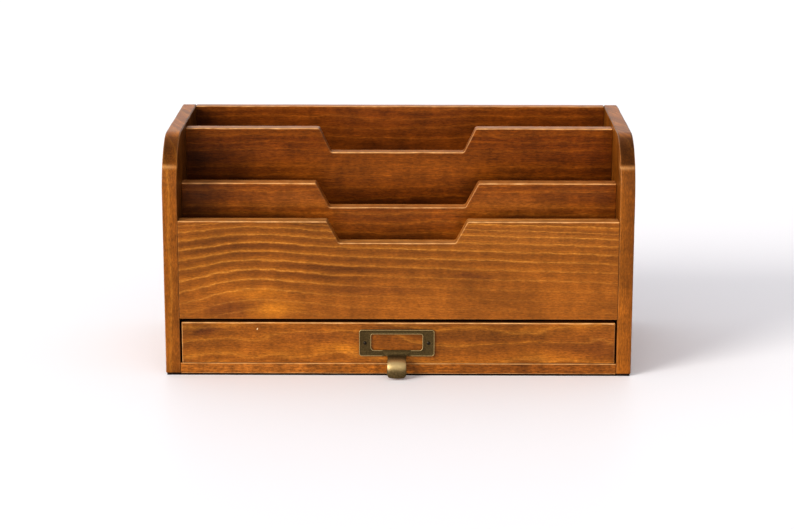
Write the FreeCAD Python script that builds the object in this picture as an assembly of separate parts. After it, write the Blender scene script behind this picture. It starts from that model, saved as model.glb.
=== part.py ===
import FreeCAD, Part
import math
import os

# Desk organizer: a stained pine letter rack with three slots over one shallow drawer.
# Millimetres. The origin is on the table under the middle of the case; +Z is up and the front faces -Y.

V = FreeCAD.Vector

# ---------------------------------------------------------------- driving dimensions
case_width = 330.0
case_depth = 154.0
case_height = 169.0
board = 10.5                 # sides, rear divider and drawer front
thick_board = 12.0           # front panel and middle divider
back_thickness = 8.0
shelf_thickness = 9.0        # slot floor, and base board with its felt
felt_thickness = 1.4         # felt sheet that lifts the boards off the table
felt_inset = 0.8             # how far it stops short of the outline of the case
corner_radius = 39.0         # top front corner of each side
arris = 1.1                  # rounding of the handled edges
fine_arris = 0.8             # rounding of the thin boards

front_panel_top = 112.0
middle_divider_top = 133.0
rear_divider_top = 165.5
middle_divider_setback = 31.0    # from the case front to the divider's front face
rear_divider_setback = 70.0
bay_height = 32.3                # clear height of the drawer bay

notch_round = 2.0                # rounding of the notch corners in the board's outline
# sawn by hand: a little left of the middle, and the rear one slightly steeper
front_notch = {"floor_width": 82.0, "depth": 15.4, "middle": -0.7, "slope": math.radians(62.0)}
middle_notch = {"floor_width": 97.0, "depth": 17.5, "middle": -1.0, "slope": math.radians(62.0)}
rear_notch = {"floor_width": 96.4, "depth": 17.5, "middle": -1.2, "slope": math.radians(64.1)}

drawer_side_gap = 1.2
drawer_top_gap = 2.4
drawer_floor_gap = 0.3
drawer_length = 142.0
drawer_wall = 8.0
drawer_wall_height = 26.0
bottom_sheet = 3.0
groove_depth = 4.0
groove_height = 3.5              # from the drawer's lower edge to the groove
sheet_play = 0.4                 # the sheet stops this far short of the groove's end

dowel_radius = 2.5
dowel_in_side = 7.0
dowel_in_board = 13.0
glue_line = 0.05                 # radial room round a dowel, filled with glue
hole_relief = 0.4                # a dowel hole is this much deeper than its dowel
brad_radius = 0.7
brad_head_radius = 1.3
brad_head_thickness = 0.8
brad_length = 22.0

pull_offset = -1.0               # the pull sits a little left of the middle
plate_width = 53.4
plate_height = 19.4
plate_bottom = 14.6              # above the table
plate_thickness = 1.0
rim_height = 0.35                # the raised border stands this far off the plate
rim_width = 0.8
window_width = 36.2
window_height = 11.6
window_bottom = 19.0
pin_spacing = 45.0
pin_height = 24.2
pin_radius = 0.7
pin_head_radius = 1.25
pin_length = 8.0

tongue_thickness = 1.2
tongue_root = 20.6               # width where it leaves the frame
tongue_neck = 12.9
tongue_width = 13.6
tongue_first_straight = 1.0
tongue_hollow_radius = 3.6       # bends at mid thickness
tongue_slope = 4.4
tongue_roll_radius = 7.7
tongue_bend = math.radians(70.0)
tongue_tip = 1.4                 # lowest point above the table
tongue_tip_round = 3.0

# ---------------------------------------------------------------- derived places
x_out = case_width / 2
x_in = x_out - board
y_front = -case_depth / 2
y_back = case_depth / 2
y_inner_back = y_back - back_thickness
bay_top = shelf_thickness + bay_height
slot_floor_top = bay_top + shelf_thickness
base_thickness = shelf_thickness - felt_thickness
base_middle = felt_thickness + base_thickness / 2
slot_floor_middle = bay_top + shelf_thickness / 2
front_panel_back = y_front + thick_board
drawer_front_back = y_front + board
middle_front = y_front + middle_divider_setback
rear_front = y_front + rear_divider_setback

drawer_x = x_in - drawer_side_gap
drawer_z0 = shelf_thickness + drawer_floor_gap
drawer_z1 = bay_top - drawer_top_gap
drawer_y1 = y_front + drawer_length
drawer_inner_x = drawer_x - drawer_wall
drawer_wall_top = drawer_z0 + drawer_wall_height
groove_z0 = drawer_z0 + groove_height


# ---------------------------------------------------------------- helpers
def box(x0, x1, y0, y1, z0, z1):
    return Part.makeBox(x1 - x0, y1 - y0, z1 - z0, V(x0, y0, z0))


def rod(radius, start, direction, length):
    return Part.makeCylinder(radius, length, start, direction)


def soften(solid, radius, wanted):
    """Round the edges whose bounding box passes the test."""
    edges = [edge for edge in solid.Edges if wanted(edge.BoundBox)]
    return solid.makeFillet(radius, edges)


def on_plane(low, high, value):
    return abs(low - value) < 1e-4 and abs(high - value) < 1e-4


def corner_round(points, radii):
    """Closed wire through the points, each corner rounded by its own radius."""
    edges = []
    count = len(points)
    ends = []
    for i in range(count):
        here = points[i]
        back = (points[i - 1] - here).normalize()
        ahead = (points[(i + 1) % count] - here).normalize()
        half = back.getAngle(ahead) / 2
        cut = radii[i] / math.tan(half) if radii[i] else 0.0
        bisector = (back + ahead).normalize()
        middle = here + bisector * (radii[i] / math.sin(half) - radii[i])
        ends.append((here + back * cut, middle, here + ahead * cut))
    for i in range(count):
        start, middle, end = ends[i]
        if radii[i]:
            edges.append(Part.Arc(start, middle, end).toShape())
        edges.append(Part.LineSegment(end, ends[(i + 1) % count][0]).toShape())
    return Part.Wire(edges)


def prism(wire, direction):
    return Part.Face(wire).extrude(direction)


def rectangle_xz(half_width, z0, z1, y, radii):
    """Rounded rectangle facing the front, corners from lower left anticlockwise."""
    points = [V(-half_width, y, z0), V(half_width, y, z0), V(half_width, y, z1), V(-half_width, y, z1)]
    return corner_round(points, radii)


def brad(head_face, direction, length):
    """Brad with a flat head let in flush with the face it is driven through."""
    head = rod(brad_head_radius, head_face, direction, brad_head_thickness)
    return head.fuse(rod(brad_radius, head_face, direction, length)).removeSplitter()


# ---------------------------------------------------------------- case boards
def side_panel(sign):
    x0 = min(sign * x_in, sign * x_out)
    z0 = felt_thickness
    points = [V(x0, y_front, z0), V(x0, y_back, z0), V(x0, y_back, case_height), V(x0, y_front, case_height)]
    panel = prism(corner_round(points, [0, 0, 0, corner_radius]), V(board, 0, 0))

    def handled(bb):
        on_face = on_plane(bb.XMin, bb.XMax, x_out * sign) or on_plane(bb.XMin, bb.XMax, x_in * sign)
        square_corner = bb.XLength > 1 and not (bb.YMin < y_front + corner_radius + 1 and bb.ZMin > z0 + 1)
        return on_face or square_corner
    return soften(panel, arris, handled)


def notched_board(y0, thickness, z0, z1, notch):
    """Cross board with a trapezoid notch in its top edge."""
    half_floor = notch["floor_width"] / 2
    half_top = half_floor + notch["depth"] / math.tan(notch["slope"])
    z_floor = z1 - notch["depth"]
    x = notch["middle"]
    points = [V(-x_in, y0, z0), V(x_in, y0, z0), V(x_in, y0, z1), V(x + half_top, y0, z1),
              V(x + half_floor, y0, z_floor), V(x - half_floor, y0, z_floor), V(x - half_top, y0, z1), V(-x_in, y0, z1)]
    radii = [0, 0, 0, notch_round, notch_round, notch_round, notch_round, 0]
    blank = prism(corner_round(points, radii), V(0, thickness, 0))

    def top_edge(bb):
        faces = on_plane(bb.YMin, bb.YMax, y0) or on_plane(bb.YMin, bb.YMax, y0 + thickness)
        return faces and bb.ZMin > z0 + 1
    return soften(blank, arris, top_edge)


def front_panel():
    panel = notched_board(y_front, thick_board, bay_top, front_panel_top, front_notch)

    def lower_front(bb):
        return on_plane(bb.YMin, bb.YMax, y_front) and bb.ZMax < bay_top + 1
    return soften(panel, fine_arris, lower_front)


def shelf(y0, z0, z1):
    """Level board between the sides, its two front edges rounded."""
    plain = box(-x_in, x_in, y0, y_inner_back, z0, z1)
    return soften(plain, fine_arris, lambda bb: on_plane(bb.YMin, bb.YMax, y0) and bb.XLength > 1)


def back_panel():
    plain = box(-x_in, x_in, y_inner_back, y_back, felt_thickness, case_height)

    def free_edge(bb):
        return bb.XLength > 1 and (bb.ZMin > felt_thickness + 1 or bb.YMin > y_back - 1)
    return soften(plain, fine_arris, free_edge)


def felt_sheet():
    """Thin felt glued under the whole case, which stands on it."""
    return box(-x_out + felt_inset, x_out - felt_inset, y_front + felt_inset, y_back - felt_inset,
               0, felt_thickness)


# ---------------------------------------------------------------- dowels and brads of the case
dowel_rows = {
    "base_board": [(y, base_middle) for y in (-60.0, 0.0, 52.0)],
    "slot_floor": [(y, slot_floor_middle) for y in (-52.0, 0.0, 52.0)],
    "front_panel": [(y_front + thick_board / 2, z) for z in (58.0, 98.0)],
    "middle_divider": [(middle_front + thick_board / 2, z) for z in (66.0, 116.0)],
    "rear_divider": [(rear_front + board / 2, z) for z in (66.0, 108.0, 150.0)],
    "back_panel": [(y_back - back_thickness / 2, z) for z in (24.0, 84.0, 144.0)],
}
brad_rows = [(x, z) for z in (base_middle, slot_floor_middle)
             for x in (-120.0, -40.0, 40.0, 120.0)]


def dowel(sign, y, z, extra_radius=0.0, extra_length=0.0):
    start = x_in - dowel_in_board - extra_length
    length = dowel_in_board + dowel_in_side + 2 * extra_length
    return rod(dowel_radius + extra_radius, V(sign * start, y, z), V(sign, 0, 0), length)


def bored(solid, sign_list, rows):
    """Cut the dowel holes of the given rows at the given ends."""
    for sign in sign_list:
        for y, z in rows:
            solid = solid.cut(dowel(sign, y, z, glue_line, hole_relief))
    return solid


def back_brads():
    return [brad(V(x, y_back, z), V(0, -1, 0), brad_length) for x, z in brad_rows]


# ---------------------------------------------------------------- drawer
drawer_dowel_heights = (groove_z0 + 9.0, groove_z0 + 18.0)
drawer_dowel_in_front = 7.0
drawer_dowel_length = 18.0
drawer_dowel_x = drawer_x - drawer_wall / 2
drawer_brad_length = 20.0


def groove(x0, x1, y0, y1):
    return box(x0, x1, y0, y1, groove_z0, groove_z0 + bottom_sheet)


def drawer_front():
    plain = box(-drawer_x, drawer_x, y_front, drawer_front_back, drawer_z0, drawer_z1)
    plain = soften(plain, arris, lambda bb: on_plane(bb.YMin, bb.YMax, y_front))
    reach = drawer_inner_x + groove_depth
    return plain.cut(groove(-reach, reach, drawer_front_back - groove_depth, drawer_front_back))


def drawer_side(sign):
    inner, outer = sign * drawer_inner_x, sign * drawer_x
    wall = box(min(inner, outer), max(inner, outer), drawer_front_back, drawer_y1, drawer_z0, drawer_wall_top)
    wall = soften(wall, fine_arris, lambda bb: bb.ZMin > drawer_wall_top - 0.01 and bb.YLength > 1)
    cut_to = inner + sign * groove_depth
    return wall.cut(groove(min(inner, cut_to), max(inner, cut_to), drawer_front_back, drawer_y1))


def drawer_back():
    wall = box(-drawer_inner_x, drawer_inner_x, drawer_y1 - drawer_wall, drawer_y1, drawer_z0, drawer_wall_top)
    wall = soften(wall, fine_arris, lambda bb: bb.ZMin > drawer_wall_top - 0.01 and bb.XLength > drawer_wall + 1)
    y0 = drawer_y1 - drawer_wall
    return wall.cut(groove(-drawer_inner_x, drawer_inner_x, y0, y0 + groove_depth))


def drawer_bottom():
    reach = groove_depth - sheet_play
    half = drawer_inner_x + reach
    return groove(-half, half, drawer_front_back - reach, drawer_y1 - drawer_wall + reach)


def drawer_dowel(sign, z, extra_radius=0.0, extra_length=0.0):
    start = V(sign * drawer_dowel_x, drawer_front_back - drawer_dowel_in_front - extra_length, z)
    return rod(dowel_radius + extra_radius, start, V(0, 1, 0), drawer_dowel_length + 2 * extra_length)


def drawer_brad(sign, z):
    return brad(V(sign * drawer_x, drawer_y1 - drawer_wall / 2, z), V(-sign, 0, 0), drawer_brad_length)


# ---------------------------------------------------------------- label pull
def tongue_section():
    """Side view of the tongue: down the plate, out in a hollow bend, then over and down to the tip."""
    half = tongue_thickness / 2
    place = [half, window_bottom]                    # distance out from the drawer front, height
    heading = 0.0                                    # 0 is straight down, 90 degrees is straight out
    sides = {1: [], -1: []}

    def at(side):
        out = place[0] + side * half * math.cos(heading)
        up = place[1] + side * half * math.sin(heading)
        return V(0, y_front - out, up)

    def straight(length):
        before = {side: at(side) for side in sides}
        place[0] += length * math.sin(heading)
        place[1] -= length * math.cos(heading)
        for side in sides:
            sides[side].append(Part.LineSegment(before[side], at(side)).toShape())

    def bend(radius, angle):
        """Positive angles turn outwards, about a centre above; negative angles turn down again."""
        nonlocal heading
        turn = math.copysign(1.0, angle)
        centre = (place[0] + turn * radius * math.cos(heading), place[1] + turn * radius * math.sin(heading))
        stops = {side: [at(side)] for side in sides}
        start = heading
        for share in (0.5, 1.0):
            heading = start + angle * share
            place[0] = centre[0] - turn * radius * math.cos(heading)
            place[1] = centre[1] - turn * radius * math.sin(heading)
            for side in sides:
                stops[side].append(at(side))
        for side in sides:
            sides[side].append(Part.Arc(*stops[side]).toShape())

    straight(tongue_first_straight)
    bend(tongue_hollow_radius, tongue_bend)
    straight(tongue_slope)
    bend(tongue_roll_radius, -tongue_bend)
    straight(place[1] - tongue_tip)
    top = Part.LineSegment(sides[1][0].Vertexes[0].Point, sides[-1][0].Vertexes[0].Point).toShape()
    tip = Part.LineSegment(at(1), at(-1)).toShape()
    return Part.Wire(Part.__sortEdges__([top, tip] + sides[1] + sides[-1]))


def tongue():
    half_root, half_neck, half_width = tongue_root / 2, tongue_neck / 2, tongue_width / 2
    sheet = prism(tongue_section(), V(tongue_root, 0, 0))
    sheet.translate(V(-half_root, 0, 0))
    y = y_front - 20
    shoulder = window_bottom - 1.4
    neck_top = plate_bottom - 1.2
    points = [V(-half_root, y, window_bottom), V(-half_root, y, shoulder), V(-half_neck, y, neck_top),
              V(-half_width, y, neck_top - 5), V(-half_width, y, tongue_tip)]
    radii = [0, 1.2, 4.0, 6.0, tongue_tip_round]
    mirror = [V(-p.x, p.y, p.z) for p in reversed(points)]
    outline = corner_round(points + mirror, radii + radii[::-1])
    return sheet.common(prism(outline, V(0, 40, 0)))


def label_pull():
    y_plate = y_front - plate_thickness
    y_rim = y_plate - rim_height
    z0, z1 = plate_bottom, plate_bottom + plate_height
    w0, w1 = window_bottom, window_bottom + window_height
    outer = [1.6] * 4
    window = [2.2, 2.2, 1.2, 1.2]
    half, half_window = plate_width / 2, window_width / 2

    def slab(half_width, low, high, y0, y1, radii):
        return prism(rectangle_xz(half_width, low, high, y0, radii), V(0, y1 - y0, 0))

    plate = slab(half, z0, z1, y_plate, y_front, outer)
    border = slab(half, z0, z1, y_rim, y_plate, outer)
    border = border.cut(slab(half - rim_width, z0 + rim_width, z1 - rim_width, y_rim, y_plate, [0.8] * 4))
    lip = slab(half_window + rim_width, w0 - rim_width, w1 + rim_width, y_rim, y_plate,
               [r + rim_width for r in window])
    frame = plate.fuse(border).fuse(lip)
    frame = frame.cut(slab(half_window, w0, w1, y_rim - 1, y_front + 1, window))
    frame = frame.cut(box(-tongue_root / 2, tongue_root / 2, y_rim - 1, y_front + 1, z0 - 1, w0 + 0.01))
    for sign in (-1, 1):
        frame = frame.cut(rod(pin_radius + glue_line, V(sign * pin_spacing / 2, y_rim - 1, pin_height),
                              V(0, 1, 0), 3))
    link = box(-tongue_root / 2 - 0.6, -tongue_root / 2, y_plate, y_front, w0 - 1.0, w0)
    links = link.fuse(link.mirror(V(0, 0, 0), V(1, 0, 0)))
    pull = frame.fuse(links).fuse(tongue()).removeSplitter()
    pull.translate(V(pull_offset, 0, 0))
    return pull


def pull_pin(sign):
    """Domed pin: a shallow dome on a straight shank."""
    face = V(pull_offset + sign * pin_spacing / 2, y_front - plate_thickness, pin_height)
    shank = rod(pin_radius, face, V(0, 1, 0), pin_length)
    dome_height = 0.6
    dome_radius = (pin_head_radius ** 2 + dome_height ** 2) / (2 * dome_height)
    ball = Part.makeSphere(dome_radius, face + V(0, dome_radius - dome_height, 0))
    dome = ball.common(rod(pin_head_radius + 1, face - V(0, dome_height + 1, 0), V(0, 1, 0), dome_height + 1))
    return dome.fuse(shank).removeSplitter()


# ---------------------------------------------------------------- put together
all_dowel_places = [(y, z) for rows in dowel_rows.values() for y, z in rows]
both = (-1, 1)

nodes = {
    "left_side_panel": bored(side_panel(-1), [-1], all_dowel_places),
    "right_side_panel": bored(side_panel(1), [1], all_dowel_places),
    "back_panel": bored(back_panel(), both, dowel_rows["back_panel"]),
    "rear_divider": bored(notched_board(rear_front, board, slot_floor_top, rear_divider_top, rear_notch),
                          both, dowel_rows["rear_divider"]),
    "middle_divider": bored(notched_board(middle_front, thick_board, slot_floor_top, middle_divider_top,
                                          middle_notch), both, dowel_rows["middle_divider"]),
    "front_panel": bored(front_panel(), both, dowel_rows["front_panel"]),
    "slot_floor": bored(shelf(front_panel_back, bay_top, slot_floor_top), both, dowel_rows["slot_floor"]),
    "base_board": bored(shelf(y_front, felt_thickness, shelf_thickness), both, dowel_rows["base_board"]),
    "felt_sheet": felt_sheet(),
    "case_dowels": Part.makeCompound([dowel(sign, y, z) for sign in both for y, z in all_dowel_places]),
    "back_brads": Part.makeCompound(back_brads()),
    "drawer_front": drawer_front(),
    "drawer_left_side": drawer_side(-1),
    "drawer_right_side": drawer_side(1),
    "drawer_back": drawer_back(),
    "drawer_bottom": drawer_bottom(),
    "drawer_dowels": Part.makeCompound([drawer_dowel(sign, z) for sign in both for z in drawer_dowel_heights]),
    "drawer_brads": Part.makeCompound([drawer_brad(sign, z) for sign in both for z in drawer_dowel_heights]),
    "label_pull": label_pull(),
    "pull_pins": Part.makeCompound([pull_pin(sign) for sign in both]),
}


def cut_all(name, tools):
    for tool in tools:
        nodes[name] = nodes[name].cut(tool)


for name in ("back_panel", "slot_floor", "base_board"):
    cut_all(name, back_brads())
cut_all("drawer_front", [drawer_dowel(s, z, glue_line, hole_relief) for s in both for z in drawer_dowel_heights])
cut_all("drawer_front", [pull_pin(sign) for sign in both])
for name, sign in (("drawer_left_side", -1), ("drawer_right_side", 1)):
    cut_all(name, [drawer_dowel(sign, z, glue_line, hole_relief) for z in drawer_dowel_heights])
    cut_all(name, [drawer_brad(sign, z) for z in drawer_dowel_heights])
cut_all("drawer_back", [drawer_brad(s, z) for s in both for z in drawer_dowel_heights])

os.makedirs("parts", exist_ok=True)
for name, shape in nodes.items():
    solids = shape.Solids
    assert solids and shape.isValid(), name
    out = solids[0] if len(solids) == 1 else Part.makeCompound(solids)
    out.exportStep("parts/%s.step" % name)
    size = out.BoundBox
    print("%-18s %2d solids  %.1f x %.1f x %.1f mm" % (name, len(solids), size.XLength, size.YLength, size.ZLength))
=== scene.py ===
import math

import bpy
import numpy as np
from mathutils import Matrix, Vector


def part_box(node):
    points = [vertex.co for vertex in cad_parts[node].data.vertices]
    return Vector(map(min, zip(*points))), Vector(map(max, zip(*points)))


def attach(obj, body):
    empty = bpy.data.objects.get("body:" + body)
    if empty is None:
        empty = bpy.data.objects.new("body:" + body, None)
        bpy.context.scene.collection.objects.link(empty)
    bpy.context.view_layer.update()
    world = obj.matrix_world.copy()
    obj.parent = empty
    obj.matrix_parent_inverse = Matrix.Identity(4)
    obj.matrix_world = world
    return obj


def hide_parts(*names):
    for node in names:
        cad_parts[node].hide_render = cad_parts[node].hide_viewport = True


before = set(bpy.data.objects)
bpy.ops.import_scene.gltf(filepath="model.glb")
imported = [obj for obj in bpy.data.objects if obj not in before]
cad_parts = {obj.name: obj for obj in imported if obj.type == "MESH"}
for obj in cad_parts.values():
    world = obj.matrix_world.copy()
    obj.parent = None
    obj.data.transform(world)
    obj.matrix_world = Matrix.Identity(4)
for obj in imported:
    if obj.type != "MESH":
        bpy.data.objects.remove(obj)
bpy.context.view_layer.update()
mm = 0.001

# Desk organizer: stained pine boards, one sliding drawer and an antique brass label pull.


def toLinear(hexColour):  # sRGB hex to linear colour with full alpha
    parts = np.array([int(hexColour[i:i + 2], 16) / 255 for i in (1, 3, 5)])
    linear = np.where(parts <= 0.04045, parts / 12.92, ((parts + 0.055) / 1.055) ** 2.4)
    return (*linear.tolist(), 1.0)


# one node, its settings by attribute or socket, its links
def addNode(tree, kind, settings=None, links=None):
    node = tree.nodes.new(kind)
    for key, value in (settings or {}).items():
        if key == "stops":
            ramp = node.color_ramp
            while len(ramp.elements) < len(value):
                ramp.elements.new(1.0)
            for element, (place, colour) in zip(ramp.elements, value):
                element.position = place
                element.color = toLinear(colour) if isinstance(colour, str) else (*[colour] * 3, 1.0)
        elif key == "points":
            curve = node.mapping.curves[0]
            for place, rise in value[1:-1]:
                curve.points.new(place, rise)
            curve.points[0].location, curve.points[-1].location = value[0], value[-1]
            node.mapping.update()
        elif isinstance(key, str) and hasattr(node, key):
            setattr(node, key, value)
        else:
            node.inputs[key].default_value = value
    for key, source in (links or {}).items():
        tree.links.new(source, node.inputs[key])
    return node


def newMaterial(name):  # an empty node tree to build in
    material = bpy.data.materials.new(name)
    material.use_nodes = True
    material.node_tree.nodes.clear()
    return material, material.node_tree


def smoothStep(share):  # 3 share^2 - 2 share^3: from 0 to 1, level at both ends
    share = np.clip(share, 0, 1)
    return share * share * (3 - 2 * share)


def rampNoise(points, seed, spacing):  # smooth random wave along a line of points, within -1 to 1
    rng = np.random.default_rng(seed)
    steps = np.concatenate([[0], np.cumsum(np.linalg.norm(np.diff(points, axis=0), axis=1))])
    knots = rng.uniform(-1, 1, int(steps[-1] / spacing) + 3)
    knots[-1] = knots[0]
    place = steps / spacing
    low = np.clip(place.astype(int), 0, len(knots) - 2)
    share = smoothStep(place - low)
    return knots[low] * (1 - share) + knots[low + 1] * share


# the camera stands in front of the rack, a little right of its middle, and looks slightly down
view = {
    "place": (10.6, -1577.0, 445.5),  # mm
    "pitch": 13.65,                   # degrees down
    "yaw": 0.44,                      # degrees to the left
    "roll": 0.04,
    "lens": 99.75,                    # mm
    "sensor": 36,                     # mm
}


def addCamera():  # turned by roll, then pitch, then yaw
    data = bpy.data.cameras.new("camera")
    data.lens, data.sensor_width = view["lens"], view["sensor"]
    data.clip_start, data.clip_end = 0.05, 60
    camera = bpy.data.objects.new("camera", data)
    turn = (Matrix.Rotation(math.radians(view["yaw"]), 4, "Z")
            @ Matrix.Rotation(math.radians(90 - view["pitch"]), 4, "X")
            @ Matrix.Rotation(math.radians(view["roll"]), 4, "Z"))
    camera.matrix_world = Matrix.Translation(Vector(view["place"]) * mm) @ turn
    bpy.context.scene.collection.objects.link(camera)
    bpy.context.scene.camera = camera


studio = {
    "floorColour": "#F5F6F9",
    "horizonColour": "#FFFCFD",
    "zenithColour": "#C9C6C8",
    "worldLeft": 1.02, "worldRight": 0.60,   # the room is brighter on the left
    "exposure": 0.20,
    # softness in degrees, power in W/m2
    "key": {"from": (-0.72, -0.58, 0.40), "softness": 28, "power": 2.0, "colour": "#FFFAF4"},
    "fill": {"from": (0.10, -0.95, 0.30), "softness": 60, "power": 0.40, "colour": "#FFFFFF"},
}


def addLight(name, settings):  # a soft sun, shining from its place towards the middle
    data = bpy.data.lights.new(name, "SUN")
    data.angle = math.radians(settings["softness"])
    data.energy, data.color = settings["power"], toLinear(settings["colour"])[:3]
    light = bpy.data.objects.new(name, data)
    aim = (-Vector(settings["from"])).to_track_quat("-Z", "Y").to_matrix().to_4x4()
    light.matrix_world = Matrix.Translation(Vector(settings["from"])) @ aim
    bpy.context.scene.collection.objects.link(light)


def addStudio():  # a pale floor, a sky that fades upwards and dims to the right, and two soft suns
    scene = bpy.context.scene
    scene.view_settings.view_transform = "Standard"
    scene.view_settings.look = "Medium High Contrast"
    scene.view_settings.exposure = studio["exposure"]
    world = bpy.data.worlds.new("studio")
    scene.world = world
    world.use_nodes = True
    tree = world.node_tree
    tree.nodes.clear()
    direction = addNode(tree, "ShaderNodeTexCoord")
    height = addNode(tree, "ShaderNodeSeparateXYZ", links={0: direction.outputs["Generated"]})
    sky = addNode(tree, "ShaderNodeValToRGB",
                  {"stops": [(0.25, studio["horizonColour"]), (0.80, studio["zenithColour"])]},
                  {0: height.outputs["Z"]})
    sideways = addNode(tree, "ShaderNodeMapRange",
                       {"From Min": -1.0, "To Min": studio["worldLeft"], "To Max": studio["worldRight"]},
                       {0: height.outputs["X"]})
    glow = addNode(tree, "ShaderNodeBackground", links={0: sky.outputs[0], 1: sideways.outputs[0]})
    addNode(tree, "ShaderNodeOutputWorld", links={0: glow.outputs[0]})
    addLight("keyLight", studio["key"])
    addLight("fillLight", studio["fill"])
    mesh = bpy.data.meshes.new("floor")
    reach = 12.0  # m, half the floor's side
    corners = [(-reach, -reach, 0), (reach, -reach, 0), (reach, reach, 0), (-reach, reach, 0)]
    mesh.from_pydata(corners, [], [(0, 1, 2, 3)])
    floor = bpy.data.objects.new("floor", mesh)
    scene.collection.objects.link(floor)
    material, tree = newMaterial("paleTable")
    settings = {"Base Color": toLinear(studio["floorColour"]), "Roughness": 0.5, "Specular IOR Level": 0.3}
    shader = addNode(tree, "ShaderNodeBsdfPrincipled", settings)
    addNode(tree, "ShaderNodeOutputMaterial", links={0: shader.outputs[0]})
    mesh.materials.append(material)


addCamera()
addStudio()
print("camera, light and floor are in place")


# Slow-grown pine, planed, wiped with a warm brown stain and lacquered. Under each hard ring line, which
# stays light, lies a soft band that drinks the stain and goes dark; end grain goes darkest, and rubbed
# arrises show lighter wood. Faces that look up or down also carry painted shade and painted sheen, and
# the slots carry painted shade. Lengths are in mm.
pine = {
    "ringStops": [(0.0, "#925718"), (0.14, "#784412"), (0.42, "#703D0F"), (0.75, "#884D14"),
                  (1.0, "#975B1A")],
    "average": "#854A14",
    "line": "#C38038",
    "soaked": "#542A0A",
    "bareWood": "#EBB679",
    "lineWidth": 0.11,        # share of a ring
    "fibre": (14.0, 0.65),    # length and width in mm, coarser than real fibres so that they show
    "fleck": (2.6, 0.65),
    "mottle": 9.0,
    "blotch": 34.0,
    "wander": (60.0, 22.0),   # slow waves of the ring lines, length and width in mm
    "shake": (9.0, 5.0),      # quick ones
    "shakeRise": 0.45,        # mm
    "lean": 0.4,              # mm that a ring moves down the board for each mm into it
    "uneven": (0.55, 2.2),    # ring widths: how often they change, and how much
    "ragged": (26, 0, 9),     # mm by which noise pushes the edge of a patch
    "raggedGrain": 16.0,      # mm
    "flicker": (2.6, 1.6),    # light lines break up at this length and width in mm
    "fading": (70.0, 12.0),   # and come and go at this one
    "rubGrain": 7.0,          # mm between rubbed places on an arris
    "nickColour": "#E6C596",
    "nickSize": (0.35, 1.0),  # mm from its middle: full colour, then none
    "relief": 0.00012,        # m that fibres stand proud under the lacquer
    "roughness": 0.34,
    "reach": 165.0,           # half length over which a figure is drawn
    "riseRange": 30.0,        # mm that a figure's curve may cover
    "riseZero": 0.8,          # where in that range a rise of nothing lies
    "figureDepth": 70.0,      # mm below the top edge where the lower lines' figure has taken over
}
alongX = (0.0, 0.0, 0.0)                       # grain along X, width of the board along Z
alongXFlat = (math.radians(90), 0.0, 0.0)      # grain along X, board lying flat
alongY = (0.0, 0.0, math.radians(90))
alongZ = (0.0, math.radians(90), 0.0)          # grain upright
darkStain = "#5A2C0F"
paleStain = "#A0622A"
# colour of the painted shade low in the slots
slotShadeColour = "#2A1006"


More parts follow.
